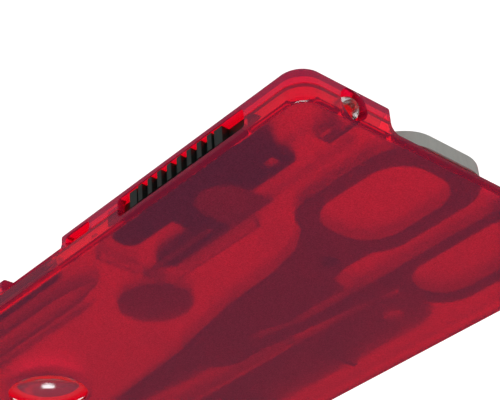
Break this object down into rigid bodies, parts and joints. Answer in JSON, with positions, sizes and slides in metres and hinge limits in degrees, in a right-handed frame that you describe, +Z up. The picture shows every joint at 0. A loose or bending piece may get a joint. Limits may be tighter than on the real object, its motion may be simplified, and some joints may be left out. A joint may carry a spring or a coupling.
{
  "type": "pocket card tool",
  "caption": "Flat translucent card case holding scissors, an opener, pen, tweezers, pin, lens and a slide-switched lamp.",
  "frame": {"origin": "middle of the card's underside", "axes": "+X along the long edge, +Y along the short edge, +Z up through the frosted face"},
  "size_m": [0.0826, 0.0544, 0.0045],
  "materials": {
    "clear_red": "glossy translucent red",
    "frosted_red": "fine frosted translucent red",
    "black_plastic": "matt moulded black",
    "spring_brass": "plain strip",
    "clear_lens": "clear moulded",
    "tinned_wire": "tinned",
    "cell_steel": "plated",
    "satin_steel": "satin ground",
    "dark_steel": "darkened",
    "cream_plastic": "matt cream",
    "lens_glass": "clear"
  },
  "bodies": {
    "case": {"base_shell": "clear_red", "cover_shell": "frosted_red", "lamp_lens": "clear_lens", "lamp_leads": "tinned_wire", "cell_can": "cell_steel", "cell_gasket": "black_plastic", "cell_cap": "cell_steel", "contact_positive": "spring_brass", "contact_negative": "spring_brass", "contact_carrier": "black_plastic", "magnifier_lens": "lens_glass"},
    "switch": {"thumb_slide": "black_plastic", "slide_contact": "spring_brass"},
    "scissors": {"scissors_fixed_half": "satin_steel", "scissors_rivet": "satin_steel", "scissors_spring": "satin_steel", "spring_rivet": "dark_steel"},
    "scissors_blade": {"scissors_moving_half": "satin_steel"},
    "opener": {"opener_blade": "satin_steel", "opener_handle": "clear_red"},
    "tweezers_body": {"tweezers": "satin_steel", "tweezers_tab": "cream_plastic"},
    "pen": {"pen_barrel": "dark_steel", "pen_refill": "spring_brass", "pen_button": "satin_steel"},
    "pin": {"steel_pin": "satin_steel", "pin_head": "cream_plastic"}
  },
  "joints": [
    {"name": "switch_slide", "type": "slide", "parent": "case", "child": "switch", "axis": [1, 0, 0], "range_m": [-0.0035, 0.002]},
    {"name": "scissors_draw", "type": "slide", "parent": "case", "child": "scissors", "axis": [-1, 0, 0], "range_m": [0, 0.066]},
    {"name": "scissors_open", "type": "hinge", "parent": "scissors", "child": "scissors_blade", "pos_m": [0.008, 0.0034, 0.00255], "axis": [0, 0, -1], "range_deg": [0, 15]},
    {"name": "opener_draw", "type": "slide", "parent": "case", "child": "opener", "axis": [1, 0, 0], "range_m": [0, 0.045]},
    {"name": "tweezers_draw", "type": "slide", "parent": "case", "child": "tweezers_body", "axis": [1, 0, 0], "range_m": [0, 0.03]},
    {"name": "pen_draw", "type": "slide", "parent": "case", "child": "pen", "axis": [1, 0, 0], "range_m": [0, 0.03]},
    {"name": "pin_draw", "type": "slide", "parent": "case", "child": "pin", "axis": [1, 0, 0], "range_m": [0, 0.028]}
  ],
  "couplings": [
    {"joint": "scissors_open", "follows": "scissors_draw", "rad_per_m": 3.9627}
  ]
}
